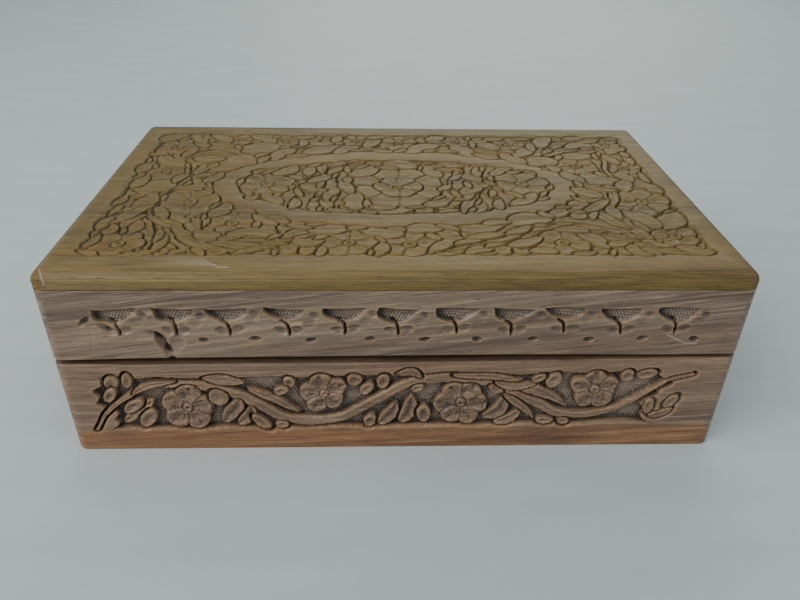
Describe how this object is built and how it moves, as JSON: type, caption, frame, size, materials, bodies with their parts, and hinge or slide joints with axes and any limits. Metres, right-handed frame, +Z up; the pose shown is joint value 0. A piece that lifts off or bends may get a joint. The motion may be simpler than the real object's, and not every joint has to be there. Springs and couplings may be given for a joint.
{
  "type": "jewelry box",
  "caption": "Rectangular carved wooden jewellery box with a hinged lid, brass butt hinges at the back and a velvet-covered lining.",
  "frame": {"origin": "middle of the underside, which stands on a table", "axes": "+X to the right along the width, +Y from the front to the back where the hinges are, +Z up"},
  "size_m": [0.254, 0.156, 0.08],
  "materials": {
    "carved_wood": "waxed, dusty in the hollows of the carving",
    "plain_wood": "bare, planed",
    "velvet": "short pile",
    "hinge_brass": "tarnished satin",
    "screw_brass": "satin"
  },
  "bodies": {
    "base": {"base_bottom": "plain_wood", "base_front_wall": "carved_wood", "base_back_wall": "carved_wood", "base_left_wall": "carved_wood", "base_right_wall": "carved_wood", "base_lining_floor": "velvet", "base_lining_front": "velvet", "base_lining_back": "velvet", "base_lining_left": "velvet", "base_lining_right": "velvet", "hinge_left_base_leaf": "hinge_brass", "hinge_left_pin": "hinge_brass", "hinge_right_base_leaf": "hinge_brass", "hinge_right_pin": "hinge_brass", "base_hinge_screw_1": "screw_brass", "base_hinge_screw_2": "screw_brass", "base_hinge_screw_3": "screw_brass", "base_hinge_screw_4": "screw_brass", "base_hinge_screw_5": "screw_brass", "base_hinge_screw_6": "screw_brass"},
    "lid": {"lid_top_board": "carved_wood", "lid_front_wall": "carved_wood", "lid_back_wall": "carved_wood", "lid_left_wall": "carved_wood", "lid_right_wall": "carved_wood", "lid_lining_panel": "velvet", "lid_lining_front": "velvet", "lid_lining_back": "velvet", "lid_lining_left": "velvet", "lid_lining_right": "velvet", "hinge_left_lid_leaf": "hinge_brass", "hinge_right_lid_leaf": "hinge_brass", "lid_hinge_screw_1": "screw_brass", "lid_hinge_screw_2": "screw_brass", "lid_hinge_screw_3": "screw_brass", "lid_hinge_screw_4": "screw_brass", "lid_hinge_screw_5": "screw_brass", "lid_hinge_screw_6": "screw_brass"}
  },
  "joints": [
    {"name": "lid_hinge", "type": "hinge", "parent": "base", "child": "lid", "pos_m": [0, 0.0754, 0.044], "axis": [-1, 0, -0.0079], "range_deg": [0, 104]}
  ]
}
